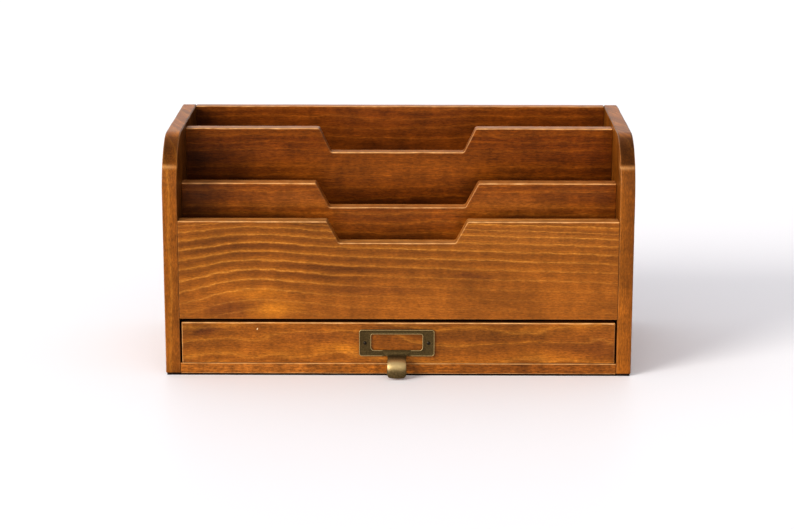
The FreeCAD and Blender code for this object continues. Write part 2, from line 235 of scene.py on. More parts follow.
def stainedPine(name, board):
    # ring number = depth below the board's top, with its waves, over the ring spacing; the number's fraction
    # picks the stain, from the light line at 0 to the dark band. Each patch is x, z, half width, half
    # height, colour and share
    material, tree = newMaterial(name)
    seed, tone = board["seed"], board.get("tone", 1.0)
    place = addNode(tree, "ShaderNodeTexCoord")
    # millimetres, X along the grain, Z across the board
    grain = addNode(tree, "ShaderNodeMapping",
                    {"Scale": (1000, 1000, 1000), "Rotation": board.get("turn", alongX)},
                    {0: place.outputs["Object"]})
    axes = addNode(tree, "ShaderNodeSeparateXYZ", links={0: grain.outputs[0]})
    along, through, across = axes.outputs[0], axes.outputs[1], axes.outputs[2]

    def stretched(length, width, shift, detail):  # noise drawn out along the grain
        scale = addNode(tree, "ShaderNodeMapping",
                        {"Scale": (1 / length, 0.7 / width, 1 / width), "Location": (shift, 0, shift)},
                        {0: grain.outputs[0]})
        return addNode(tree, "ShaderNodeTexNoise", {"Scale": 1.0, "Detail": detail, "Roughness": 0.6},
                       {0: scale.outputs[0]})

    def spread(source, low, high):  # noise of 0.3 to 0.7 onto low to high
        return addNode(tree, "ShaderNodeMapRange",
                       {"From Min": 0.3, "From Max": 0.7, "To Min": low, "To Max": high},
                       {0: source}).outputs[0]

    # depth below the board's top edge, lifted by the figure: the rise of a ring line along the board is
    # drawn as a curve, once for the upper lines and once for the lower ones
    depth = addNode(tree, "ShaderNodeMath", {"operation": "SUBTRACT", 0: board.get("top", 100.0)},
                    {1: across})
    if "figure" in board:
        share = addNode(tree, "ShaderNodeMath",
                        {"operation": "MULTIPLY_ADD", 1: 0.5 / pine["reach"], 2: 0.5}, {0: along})
        curves = [addNode(tree, "ShaderNodeFloatCurve",
                          {"points": [(0.5 + 0.5 * x / pine["reach"],
                                       pine["riseZero"] + rise / pine["riseRange"]) for x, rise in line]},
                          {"Value": share.outputs[0]}) for line in board["figure"]]
        lower = addNode(tree, "ShaderNodeMath",
                        {"operation": "MULTIPLY", 1: 1 / pine["figureDepth"], "use_clamp": True},
                        {0: depth.outputs[0]})
        blend = addNode(tree, "ShaderNodeMix",
                        links={0: lower.outputs[0], 2: curves[0].outputs[0], 3: curves[1].outputs[0]})
        rise = addNode(tree, "ShaderNodeMath",
                       {"operation": "MULTIPLY_ADD", 1: pine["riseRange"],
                        2: -pine["riseZero"] * pine["riseRange"]}, {0: blend.outputs[0]})
        depth = addNode(tree, "ShaderNodeMath", {"operation": "ADD"},
                        {0: depth.outputs[0], 1: rise.outputs[0]})
    wander = stretched(*pine["wander"], seed, 2.0)
    drift = board.get("drift", 1.0)
    depth = addNode(tree, "ShaderNodeMath", {"operation": "ADD"},
                    {0: depth.outputs[0], 1: spread(wander.outputs[0], -drift, drift)})
    inwards = addNode(tree, "ShaderNodeMath", {"operation": "ADD", 1: board.get("behind", 0.0)},
                      {0: through})
    depth = addNode(tree, "ShaderNodeMath", {"operation": "MULTIPLY_ADD", 1: pine["lean"]},
                    {0: inwards.outputs[0], 2: depth.outputs[0]})
    shake = stretched(*pine["shake"], seed + 2, 2.0)
    depth = addNode(tree, "ShaderNodeMath", {"operation": "ADD"},
                    {0: depth.outputs[0],
                     1: spread(shake.outputs[0], -pine["shakeRise"], pine["shakeRise"])})
    rings = addNode(tree, "ShaderNodeMath", {"operation": "MULTIPLY", 1: 1 / board["spacing"]},
                    {0: depth.outputs[0]})
    if "power" in board:  # rings grow wider downwards
        rings = addNode(tree, "ShaderNodeMath", {"operation": "ABSOLUTE"}, {0: rings.outputs[0]})
        rings = addNode(tree, "ShaderNodeMath", {"operation": "POWER", 1: board["power"]},
                        {0: rings.outputs[0]})
    else:
        often, much = pine["uneven"]
        uneven = addNode(tree, "ShaderNodeTexNoise",
                         {"noise_dimensions": "1D", "Scale": often, "Detail": 1.0}, {"W": rings.outputs[0]})
        rings = addNode(tree, "ShaderNodeMath", {"operation": "MULTIPLY_ADD", 1: much},
                        {0: uneven.outputs[0], 2: rings.outputs[0]})
    phase = addNode(tree, "ShaderNodeMath", {"operation": "FRACT"}, {0: rings.outputs[0]})
    bands = addNode(tree, "ShaderNodeValToRGB", {"stops": pine["ringStops"]}, {0: phase.outputs[0]})

    # how strongly the figure shows changes over the board
    blotches = stretched(pine["blotch"] * 2, pine["blotch"], seed * 7, 3.0)
    strength = spread(blotches.outputs[0], board["contrast"] * 1.25, board["contrast"] * 0.6)
    bent = addNode(tree, "ShaderNodeTexNoise", {"Scale": 1 / pine["raggedGrain"], "Detail": 3.0},
                   {0: grain.outputs[0]})
    pushed = addNode(tree, "ShaderNodeVectorMath", {"operation": "MULTIPLY_ADD", 1: pine["ragged"]},
                     {0: bent.outputs["Color"], 2: grain.outputs[0]})
    push = [most / 2 for most in pine["ragged"]]  # the noise's average is a half

    def patchMask(x, z, halfWidth, halfHeight, centreValue, outside=0.0):  # soft ellipse with a ragged edge
        centred = addNode(tree, "ShaderNodeVectorMath",
                          {"operation": "SUBTRACT", 1: (x + push[0], push[1], z + push[2])},
                          {0: pushed.outputs[0]})
        scaled = addNode(tree, "ShaderNodeVectorMath",
                         {"operation": "MULTIPLY", 1: (1 / halfWidth, 0, 1 / halfHeight)},
                         {0: centred.outputs[0]})
        away = addNode(tree, "ShaderNodeVectorMath", {"operation": "LENGTH"}, {0: scaled.outputs[0]})
        return addNode(tree, "ShaderNodeMapRange",
                       {"interpolation_type": "SMOOTHSTEP", "From Min": 1.0, "From Max": 0.15,
                        "To Min": outside, "To Max": centreValue}, {0: away.outputs["Value"]}).outputs[0]

    def anyOf(places, amount, outside):  # strongest of several patches
        masks = [patchMask(*spot, amount, outside) for spot in places]
        most = masks[0]
        for mask in masks[1:]:
            most = addNode(tree, "ShaderNodeMath", {"operation": "MAXIMUM"}, {0: most, 1: mask}).outputs[0]
        return most

    lively = anyOf(board["lively"], 1.0, 0.12) if "lively" in board else None
    if lively is not None:
        strength = addNode(tree, "ShaderNodeMath", {"operation": "MULTIPLY"},
                           {0: strength, 1: lively}).outputs[0]
    colour = addNode(tree, "ShaderNodeMix", {"data_type": "RGBA", 6: toLinear(pine["average"])},
                     {0: strength, 7: bands.outputs[0]})
    if "soaked" in board:  # soft bands between the ring lines that took the most stain
        band = addNode(tree, "ShaderNodeValToRGB",
                       {"stops": [(0.06, 0.0), (0.24, 1.0), (0.55, 1.0), (0.9, 0.0)]}, {0: phase.outputs[0]})
        share = addNode(tree, "ShaderNodeMath", {"operation": "MULTIPLY"},
                        {0: band.outputs[0], 1: anyOf(board["soaked"], 0.6, 0.0)})
        colour = addNode(tree, "ShaderNodeMix", {"data_type": "RGBA", 7: toLinear(pine["soaked"])},
                         {0: share.outputs[0], 6: colour.outputs[2]})
    for *spot, patchColour, amount in board.get("patches", ()):
        mask = patchMask(*spot, amount)
        colour = addNode(tree, "ShaderNodeMix", {"data_type": "RGBA", 7: toLinear(patchColour)},
                         {0: mask, 6: colour.outputs[2]})

    # the light line: its middle is where the ring number is whole, and its strength flickers along the grain
    centred = addNode(tree, "ShaderNodeMath", {"operation": "PINGPONG", 1: 0.5}, {0: rings.outputs[0]})
    line = addNode(tree, "ShaderNodeMapRange",
                   {"From Min": pine["lineWidth"], "From Max": pine["lineWidth"] * 0.25},
                   {0: centred.outputs[0]})
    flicker = stretched(*pine["flicker"], seed + 4, 3.0)
    lit = addNode(tree, "ShaderNodeMath", {"operation": "MULTIPLY"},
                  {0: line.outputs[0], 1: spread(flicker.outputs[0], 0.15, 1.0)})
    fading = addNode(tree, "ShaderNodeMath", {"operation": "MULTIPLY", 1: board.get("lines", 0.8)},
                     {0: spread(stretched(*pine["fading"], seed + 9, 1.0).outputs[0], 0.35, 1.1)})
    lit = addNode(tree, "ShaderNodeMath", {"operation": "MULTIPLY", "use_clamp": True},
                  {0: lit.outputs[0], 1: fading.outputs[0]})
    if lively is not None:
        lit = addNode(tree, "ShaderNodeMath", {"operation": "MULTIPLY"}, {0: lit.outputs[0], 1: lively})
    colour = addNode(tree, "ShaderNodeMix", {"data_type": "RGBA", 7: toLinear(pine["line"])},
                     {0: lit.outputs[0], 6: colour.outputs[2]})

    # fibres, flecks, mottle and blotches multiply the tone
    fibres = stretched(*pine["fibre"], seed * 3, 4.0)
    flecks = stretched(*pine["fleck"], seed * 5, 3.0)
    mottle = stretched(pine["mottle"], pine["mottle"] * 1.5, seed * 11, 3.0)
    texture = board.get("texture", 1.0)
    tones = [spread(fibres.outputs[0], 1 - 0.17 * texture, 1 + 0.17 * texture),
             spread(flecks.outputs[0], 1 - 0.22 * texture, 1 + 0.22 * texture),
             spread(mottle.outputs[0], 1 - 0.12 * texture, 1 + 0.12 * texture),
             spread(blotches.outputs[0], tone * (1 - 0.16 * texture), tone * (1 + 0.16 * texture))]
    total = tones[0]
    for part in tones[1:]:
        total = addNode(tree, "ShaderNodeMath", {"operation": "MULTIPLY"}, {0: total, 1: part}).outputs[0]
    if "upFacesShadeAndSheen" in board:  # tone of the faces that look up or down: partly the sides' end grain and rubbed tops, partly painted shade and painted sheen by which way the face looks
        facing = addNode(tree, "ShaderNodeSeparateXYZ", links={0: place.outputs["Normal"]})
        upward = addNode(tree, "ShaderNodeMath", {"operation": "ABSOLUTE"}, {0: facing.outputs["Z"]})
        halves = addNode(tree, "ShaderNodeValToRGB",
                         {"stops": [(tilt, change / 2) for tilt, change in board["upFacesShadeAndSheen"]]},
                         {0: upward.outputs[0]})
        turned = addNode(tree, "ShaderNodeMath", {"operation": "MULTIPLY", 1: 2.0}, {0: halves.outputs[0]})
        total = addNode(tree, "ShaderNodeMath", {"operation": "MULTIPLY"},
                        {0: total, 1: turned.outputs[0]}).outputs[0]
    if "innerFaceShade" in board:  # the face towards the slots is darkened: painted shade of the slots, strongest where the face looks away from the key light
        facing = addNode(tree, "ShaderNodeSeparateXYZ", links={0: place.outputs["Normal"]})
        towards, change = board["innerFaceShade"]
        inner = addNode(tree, "ShaderNodeMapRange",
                        {"From Min": 0.8 * towards, "From Max": towards, "To Min": 1.0, "To Max": change},
                        {0: facing.outputs["X"]})
        total = addNode(tree, "ShaderNodeMath", {"operation": "MULTIPLY"},
                        {0: total, 1: inner.outputs[0]}).outputs[0]
    tinted = addNode(tree, "ShaderNodeVectorMath",
                     {"operation": "MULTIPLY", 1: board.get("tint", (1.0, 1.08, 1.04))},
                     {0: colour.outputs[2]})
    toned = addNode(tree, "ShaderNodeVectorMath", {"operation": "SCALE"},
                    {0: tinted.outputs[0], "Scale": total})
    wear = addNode(tree, "ShaderNodeAttribute", {"attribute_name": "wear"})
    rub = addNode(tree, "ShaderNodeTexNoise", {"Scale": 1 / pine["rubGrain"], "Detail": 3.0},
                  {0: grain.outputs[0]})
    worn = addNode(tree, "ShaderNodeMath", {"operation": "MULTIPLY", "use_clamp": True},
                   {0: wear.outputs["Fac"], 1: spread(rub.outputs[0], 0.4, 1.0)})
    finished = addNode(tree, "ShaderNodeMix", {"data_type": "RGBA", 7: toLinear(pine["bareWood"])},
                       {0: worn.outputs[0], 6: toned.outputs[0]})
    if "nick" in board:
        spot = [at + by for at, by in zip(board["nick"], push)]
        full, none = pine["nickSize"]
        away = addNode(tree, "ShaderNodeVectorMath", {"operation": "DISTANCE", 1: spot},
                       {0: pushed.outputs[0]})
        chip = addNode(tree, "ShaderNodeMapRange", {"From Min": none, "From Max": full},
                       {0: away.outputs["Value"]})
        finished = addNode(tree, "ShaderNodeMix", {"data_type": "RGBA", 7: toLinear(pine["nickColour"])},
                           {0: chip.outputs[0], 6: finished.outputs[2]})

    # lacquer: fibres and ring lines stand a few hundredths of a millimetre proud under it
    relief = addNode(tree, "ShaderNodeMath", {"operation": "MULTIPLY_ADD", 1: 0.4},
                     {0: lit.outputs[0], 2: fibres.outputs[0]})
    bump = addNode(tree, "ShaderNodeBump", {"Strength": 0.4, "Distance": pine["relief"]},
                   {"Height": relief.outputs[0]})
    shader = addNode(tree, "ShaderNodeBsdfPrincipled",
                     {"IOR": 1.5, "Specular IOR Level": board.get("gloss", 0.15)},
                     {"Base Color": finished.outputs[2], "Normal": bump.outputs[0],
                      "Roughness": spread(fibres.outputs[0], pine["roughness"] - 0.06,
                                          pine["roughness"] + 0.08)})
    addNode(tree, "ShaderNodeOutputMaterial", links={0: shader.outputs[0]})
    return material


# how the boards' arrises are softened by hand
softened = {
    "waver": 0.22,          # share by which the quarter round's radius wavers
    "slowWave": 14.0,       # mm along the edge
    "quickWave": 5.0,
    "pointSpacing": 4.0,    # mm between mesh points along an edge
    "capInset": 5.0,        # mm from the edge to the flat cap
    "roundSteps": 6,        # rings on each quarter round
    "edgeSheen": 0.32,       # how much lighter the boards' edge faces are painted: painted sheen, in the colour of bare wood
}


def outlineLoop(corners, radii, inset, counts, arcPoints):
    # closed loop round a polygon given anticlockwise, moved inwards by inset: each corner is an arc whose
    # radius shrinks (outer corner) or grows (inner corner) by the inset, with counts[i] points along
    # each straight
    corners = np.asarray(corners, float)
    direction = np.roll(corners, -1, 0) - corners
    direction /= np.linalg.norm(direction, axis=1)[:, None]
    inward = np.stack([-direction[:, 1], direction[:, 0]], 1)
    before, inwardBefore = np.roll(direction, 1, 0), np.roll(inward, 1, 0)
    dot = (inwardBefore * inward).sum(1)
    moved = corners + (inwardBefore + inward) * (inset / (1 + dot))[:, None]
    cross = before[:, 0] * direction[:, 1] - before[:, 1] * direction[:, 0]
    turn = np.arctan2(cross, (before * direction).sum(1))
    sign = np.sign(turn)
    radius = np.maximum(np.asarray(radii, float) - sign * inset, 0.02)
    reach = radius * np.tan(np.abs(turn) / 2)
    start = moved - before * reach[:, None]
    centre = start + inwardBefore * (sign * radius)[:, None]
    share = np.linspace(0, 1, arcPoints)
    parts, kinds = [], []
    for i in range(len(corners)):
        angle = turn[i] * share
        spoke = start[i] - centre[i]
        arc = centre[i] + np.stack([spoke[0] * np.cos(angle) - spoke[1] * np.sin(angle),
                                    spoke[0] * np.sin(angle) + spoke[1] * np.cos(angle)], 1)
        after = (i + 1) % len(corners)
        lineEnd = moved[after] - before[after] * reach[after]
        along = np.linspace(0, 1, counts[i] + 2)[1:-1, None]
        parts += [arc, arc[-1] + (lineEnd - arc[-1]) * along]
        kinds += [(i - 1 + share) % len(corners), np.full(counts[i], float(i))]
    return np.concatenate(parts), np.concatenate(kinds)


def meshFromRings(name, rings, wear):
    # rings of points, one closed loop each, joined by quads, with a flat cap on the first and last ring. The
    # sign of the enclosed volume says whether the faces point outwards. wear is one value per point
    ringCount, count = rings.shape[:2]
    index = np.arange(ringCount * count).reshape(ringCount, count)
    a, b = index[:-1], index[1:]
    quads = np.stack([a, np.roll(a, -1, 1), np.roll(b, -1, 1), b], -1).reshape(-1, 4)
    points = rings.reshape(-1, 3)
    centre = points.mean(0)
    p = points[quads] - centre
    volume = (np.einsum("ij,ij->i", p[:, 0], np.cross(p[:, 1], p[:, 2]))
              + np.einsum("ij,ij->i", p[:, 0], np.cross(p[:, 2], p[:, 3]))).sum()
    faces = quads.tolist() + [index[0][::-1].tolist(), index[-1].tolist()]
    if volume < 0:
        faces = [face[::-1] for face in faces]
    mesh = bpy.data.meshes.new(name)
    mesh.from_pydata((points * mm).tolist(), [], faces)
    mesh.shade_smooth()
    layer = mesh.attributes.new("wear", "FLOAT", "POINT")
    layer.data.foreach_set("value", wear.ravel().astype(np.float32))
    mesh.update()
    piece = bpy.data.objects.new(name, mesh)
    bpy.context.scene.collection.objects.link(piece)
    return piece


def softBoard(name, corners, radii, low, high, toSpace, arrises, wears, seed, arcPoints=7, edgeSheen=0.0):
    # outline loops carried through the thickness: flat face, quarter round, edge, quarter round, flat face.
    # arrises and wears are one value per outline edge; the quarter round's radius wavers along the edge
    corners = np.asarray(corners, float)
    lengths = np.linalg.norm(np.roll(corners, -1, 0) - corners, axis=1)
    counts = np.maximum((lengths / softened["pointSpacing"]).astype(int), 2)
    biggest = max(arrises)
    outer, edge = outlineLoop(corners, radii, 0, counts, arcPoints)
    inset, _ = outlineLoop(corners, radii, biggest, counts, arcPoints)
    edgeNumbers = np.arange(len(corners) + 1)
    local = np.interp(edge, edgeNumbers, np.append(arrises, arrises[0]))
    waver = softened["waver"]
    slow = rampNoise(outer, seed, softened["slowWave"])
    quick = rampNoise(outer, seed + 1, softened["quickWave"])
    local = local * (1 + waver * slow + 0.5 * waver * quick)
    local = np.clip(local, 0.12, min(biggest * 1.5, (high - low) * 0.45))
    worn = np.interp(edge, edgeNumbers, np.append(wears, wears[0]))
    nothing = np.zeros(len(outer))
    steps = [("cap", softened["capInset"]), ("cap", biggest * 1.25 + 0.1)]
    steps += [("round", turn) for turn in np.linspace(0, math.pi / 2, softened["roundSteps"])]
    steps += [("edge", 0.0)]
    rings, wearRings = [], []
    for face, inwards, order in ((low, 1, steps), (high, -1, steps[::-1])):
        for kind, value in order:
            if kind == "cap":
                plan, _ = outlineLoop(corners, radii, value, counts, arcPoints)
                depth, wear = nothing, nothing
            elif kind == "edge":
                # painted sheen along the middle of the edge face, scaled by the arris's wear
                plan, wear = outer, worn * edgeSheen
                depth = nothing + min(biggest * 2, (high - low) * 0.46)
            else:
                plan = outer + (inset - outer) * (local * (1 - math.sin(value)) / biggest)[:, None]
                depth, wear = local * (1 - math.cos(value)), worn * math.sin(2 * value)
            rings.append(toSpace(plan, face + inwards * depth))
            wearRings.append(wear)
    return meshFromRings(name, np.stack(rings), np.stack(wearRings))


def facingFront(plan, depth):  # outline in X and Z, thickness along Y
    return np.stack([plan[:, 0], depth, plan[:, 1]], 1)


def facingSide(plan, depth):   # outline in Y and Z, thickness along X
    return np.stack([depth, plan[:, 0], plan[:, 1]], 1)


def lyingFlat(plan, depth):    # outline in X and Y, thickness along Z
    return np.stack([plan[:, 0], plan[:, 1], depth], 1)


def nodeBox(node):  # lowest and highest corner of a CAD node in millimetres
    low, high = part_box(node)
    return np.array(low) / mm, np.array(high) / mm


def standsFor(piece, node, body, material):  # a finer piece in the place of a CAD node
    piece.data.materials.append(material)
    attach(piece, body)
    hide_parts(node)


sides = {"cornerRadius": 39.0, "arris": 1.1, "wear": 0.10, "rubbed": 0.45, "rubbedWidth": 1.2,
         "wornHighlightAbove": 19.5}   # the light line lies this far up the curve: partly wear, partly painted highlight


def addWornHighlightLine(piece, height, front):
    # a light line on the rounded corner, where its end grain starts: partly wear, partly painted highlight
    # where the curve turns; a narrow bell over height
    points = np.empty(len(piece.data.vertices) * 3)
    piece.data.vertices.foreach_get("co", points)
    points = points.reshape(-1, 3) / mm
    wear = np.empty(len(points), np.float32)
    layer = piece.data.attributes["wear"].data
    layer.foreach_get("value", wear)
    bell = np.exp(-((points[:, 2] - height) / sides["rubbedWidth"]) ** 2) * (points[:, 1] < front + 12)
    layer.foreach_set("value", np.maximum(wear, sides["rubbed"] * bell).astype(np.float32))


def addSide(name, node, material, seed):
    # a rectangle whose top front corner is a large arc, carried across the thickness
    low, high = nodeBox(node)
    corners = [(low[1], low[2]), (high[1], low[2]), (high[1], high[2]), (low[1], high[2])]
    radii = [1.0, 1.0, 1.2, sides["cornerRadius"]]
    piece = softBoard(name, corners, radii, low[0], high[0], facingSide, [sides["arris"]] * 4,
                      [0.1, 0.3, sides["wear"], sides["wear"]], seed, arcPoints=90)
    addWornHighlightLine(piece, high[2] - sides["cornerRadius"] + sides["wornHighlightAbove"], low[1])
    standsFor(piece, node, "case", material)


notches = {   # mm, slopes in degrees
    "front": {"middle": -0.7, "floorWidth": 82.0, "depth": 15.4, "slope": 62.0},
    "middle": {"middle": -1.0, "floorWidth": 97.0, "depth": 17.5, "slope": 62.0},
    "rear": {"middle": -1.2, "floorWidth": 96.4, "depth": 17.5, "slope": 64.1},
}


def addNotched(name, node, notch, material, seed, wear):
    # a rectangle with a trapezoid cut out of its top edge, carried through the thickness
    low, high = nodeBox(node)
    middle, halfFloor = notch["middle"], notch["floorWidth"] / 2
    halfTop = halfFloor + notch["depth"] / math.tan(math.radians(notch["slope"]))
    notchFloor = high[2] - notch["depth"]
    corners = [(low[0], low[2]), (high[0], low[2]), (high[0], high[2]), (middle + halfTop, high[2]),
               (middle + halfFloor, notchFloor), (middle - halfFloor, notchFloor),
               (middle - halfTop, high[2]), (low[0], high[2])]
    radii = [0.4, 0.4, 0.4, 2.0, 2.0, 2.0, 2.0, 0.4]
    arrises = [0.6, 0.45, 0.9, 0.8, 0.9, 0.8, 0.9, 0.45]
    wears = [0.15, 0.1, wear, wear * 0.4, wear, wear * 0.15, wear, 0.1]
    piece = softBoard(name, corners, radii, low[1], high[1], facingFront, arrises, wears, seed,
                      edgeSheen=softened["edgeSheen"])
    standsFor(piece, node, "case", material)


def addPlain(name, node, body, toSpace, arrises, wears, material, seed, sunk=0.0, edgeSheen=0.0):
    # a rectangle carried through its thickness, whose upper end is sunk a little under nail heads
    low, high = nodeBox(node)
    first, second, thickness = {facingFront: (0, 2, 1), facingSide: (1, 2, 0), lyingFlat: (0, 1, 2)}[toSpace]
    corners = [(low[first], low[second]), (high[first], low[second]),
               (high[first], high[second]), (low[first], high[second])]
    piece = softBoard(name, corners, [0.8] * 4, low[thickness], high[thickness] - sunk, toSpace, arrises,
                      wears, seed, edgeSheen=edgeSheen)
    standsFor(piece, node, body, material)


# on the sides the rounded corner is darker, partly end grain and partly painted shade, and the flat top is
# lighter: painted sheen
sideWood = {"turn": alongZ, "spacing": 9.0, "drift": 1.5, "contrast": 0.6, "lines": 0.3, "texture": 1.5,
            "gloss": 0.12, "upFacesShadeAndSheen": [(0.50, 1.0), (0.56, 0.6), (0.80, 0.42), (0.94, 0.5), (0.985, 1.3)]}
leftPine = stainedPine("pineLeftSide", {**sideWood, "seed": 3.7, "innerFaceShade": (1.0, 0.42)})
rightPine = stainedPine("pineRightSide", {
    **sideWood, "seed": 9.3, "innerFaceShade": (-1.0, 0.8),
    "upFacesShadeAndSheen": [(0.50, 1.0), (0.56, 0.45), (0.80, 0.30), (0.94, 0.4), (0.985, 1.2)]})
frontPine = stainedPine("pineFrontPanel", {
    "spacing": 4.0, "power": 0.83, "top": 112.0, "behind": 77.0, "drift": 0.35, "contrast": 0.9,
    "lines": 0.7, "seed": 0.0,
    # top face lighter: partly rubbed, partly painted sheen
    "upFacesShadeAndSheen": [(0.9, 1.0), (0.97, 1.3)],
    "texture": 1.25,
    "figure": [[(-165, -4.6), (-135, -2.0), (-103, 0), (-42, -3.2), (36, -5), (165, -9.0)],
               [(-165, -15.0), (-140, -8.5), (-115, -1.5), (-100, 0), (-76, -1.5), (-40, -4.5), (36, -7),
                (165, -10.0)]],
    "lively": [(-110, 88, 150, 52), (40, 118, 330, 70)],
    "soaked": [(-50, 77, 85, 15), (-100, 94, 70, 9)],
    "patches": [(50, 72, 28, 3.5, darkStain, 0.6), (-120, 49, 26, 9, darkStain, 0.6),
                (-20, 62, 60, 6, darkStain, 0.35), (-100, 60, 30, 5.5, "#A86218", 0.6),
                (-86, 48, 24, 10, "#AE681A", 0.65), (90, 100, 90, 14, paleStain, 0.2)]})


def slotShade(low, notchLow, ends):  # painted shade: darkest low in a slot, where a board disappears behind the next one, and in its corners; heights in mm
    return [(-108, low, 80, 11, slotShadeColour, 0.65), (105, low, 76, 11, slotShadeColour, 0.6),
            (0, notchLow, 58, 11, slotShadeColour, 0.65), (-156, ends, 30, 32, slotShadeColour, 0.6),
            (156, ends, 26, 32, slotShadeColour, 0.35)]


# the boards deeper in the rack get a lower tone: partly their own colour, partly painted shade of the slots
middlePine = stainedPine("pineMiddleDivider", {
    "spacing": 7.0, "drift": 1.6, "contrast": 0.6, "lines": 0.25, "tone": 0.88, "seed": 1.3, "texture": 1.4,
    "gloss": 0.14,
    # top face lighter: partly rubbed, partly painted sheen
    "upFacesShadeAndSheen": [(0.9, 1.0), (0.97, 1.4)],
    "tint": (1.0, 0.92, 0.7),
    "patches": [(-70, 120, 60, 9, paleStain, 0.5), (75, 118, 60, 9, paleStain, 0.6),
                *slotShade(105, 90, 113)]})
rearPine = stainedPine("pineRearDivider", {
    "spacing": 8.0, "drift": 2.0, "contrast": 0.6, "lines": 0.2, "tone": 0.62, "seed": 2.1, "texture": 1.5,
    "gloss": 0.10,
    # top face lighter: partly rubbed, partly painted sheen
    "upFacesShadeAndSheen": [(0.9, 1.0), (0.97, 1.5)],
    "tint": (1.0, 0.82, 0.42),
    "patches": [(0, 138, 130, 24, "#A8682C", 0.65), (-100, 148, 34, 12, "#A0602A", 0.4),
                *slotShade(124, 108, 138)]})
backPine = stainedPine("pineBackPanel", {
    "spacing": 8.0, "drift": 2.0, "contrast": 0.6, "lines": 0.2, "tone": 0.74, "seed": 5.2, "texture": 1.4,
    "gloss": 0.14,
    # top face lighter: partly rubbed, partly painted sheen
    "upFacesShadeAndSheen": [(0.9, 1.0), (0.97, 1.4)],
    "tint": (1.0, 0.85, 0.65),
    "patches": slotShade(149, 132, 153)})
floorPine = stainedPine("pineShelves", {
    "turn": alongXFlat, "spacing": 9.0, "drift": 2.0, "contrast": 0.7, "lines": 0.3, "seed": 6.4,
    "texture": 1.6})
basePine = stainedPine("pineBaseBoard", {
    "turn": alongXFlat, "spacing": 12.0, "drift": 3.0, "contrast": 0.9, "lines": 0.4, "seed": 8.6,
    "texture": 2.1, "tone": 1.05,
    "patches": [(100, -77, 110, 60, darkStain, 0.4), (-100, -77, 90, 60, "#A8642A", 0.35)]})
drawerPine = stainedPine("pineDrawerFront", {
    "spacing": 10.0, "drift": 4.0, "contrast": 0.7, "lines": 0.25, "seed": 4.4, "top": 38.9, "texture": 1.6,
    # top and bottom faces darker: painted shade of the gap above the drawer
    "upFacesShadeAndSheen": [(0.85, 1.0), (0.97, 0.4)],
    "figure": [[(-165, -6), (-60, 0), (60, -5), (165, -2)], [(-165, -2), (-60, 3), (60, -3), (165, -6)]],
    "patches": [(-137, 33, 14, 5, darkStain, 0.8), (-60, 30, 30, 7, darkStain, 0.35),
                (-40, 20, 26, 5, "#AC681B", 0.5), (120, 24, 26, 7, darkStain, 0.35),
                (144, 20, 24, 16, darkStain, 0.5)],
    "nick": (-102, -77, 33.8)})
drawerSidePine = stainedPine("pineDrawerSides", {
    "turn": alongY, "spacing": 8.0, "contrast": 0.5, "lines": 0.3, "seed": 7.9})

addSide("leftSide", "left_side_panel", leftPine, 11)
addSide("rightSide", "right_side_panel", rightPine, 12)
addNotched("frontBoard", "front_panel", notches["front"], frontPine, 21, 0.85)
addNotched("middleBoard", "middle_divider", notches["middle"], middlePine, 22, 0.9)
addNotched("rearBoard", "rear_divider", notches["rear"], rearPine, 23, 0.9)
addPlain("backBoard", "back_panel", "case", facingFront, [0.8, 0.5, 0.8, 0.5], [0.1, 0.1, 0.8, 0.1],
         backPine, 24, sunk=0.06, edgeSheen=softened["edgeSheen"])
addPlain("baseBoard", "base_board", "case", lyingFlat, [0.6, 0.4, 0.4, 0.4], [0.9, 0.05, 0.05, 0.05],
         basePine, 25)
addPlain("drawerFront", "drawer_front", "drawer", facingFront, [0.35, 0.9, 1.0, 0.9], [0.3, 0.2, 0.9, 0.45],
         drawerPine, 26)
print("boards are in place")


# CAD nodes that keep their shape and get a finer material
def dress(node, material):  # one material for the whole node
    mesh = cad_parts[node].data
    mesh.materials.clear()
    mesh.materials.append(material)


dress("slot_floor", floorPine)


def darkFeltShade():
    # thin wool felt, dark brown near black, so that it also paints the shade of the gap under the base:
    # soft, no shine, a fine uneven nap
    material, tree = newMaterial("darkFeltShade")
    place = addNode(tree, "ShaderNodeTexCoord")
    nap = addNode(tree, "ShaderNodeTexNoise", {"Scale": 1000 / 1.2, "Detail": 4.0},
                  {0: place.outputs["Object"]})
    colour = addNode(tree, "ShaderNodeValToRGB", {"stops": [(0.3, "#120B07"), (0.7, "#241810")]},
                     {0: nap.outputs[0]})
    bump = addNode(tree, "ShaderNodeBump", {"Strength": 0.6, "Distance": 0.0003}, {"Height": nap.outputs[0]})
    shader = addNode(tree, "ShaderNodeBsdfPrincipled", {"Roughness": 0.95, "Specular IOR Level": 0.1},
                     {"Base Color": colour.outputs[0], "Normal": bump.outputs[0]})
    addNode(tree, "ShaderNodeOutputMaterial", links={0: shader.outputs[0]})
    return material


dress("felt_sheet", darkFeltShade())
for node in ("drawer_left_side", "drawer_right_side"):
    dress(node, drawerSidePine)
dress("drawer_back", middlePine)


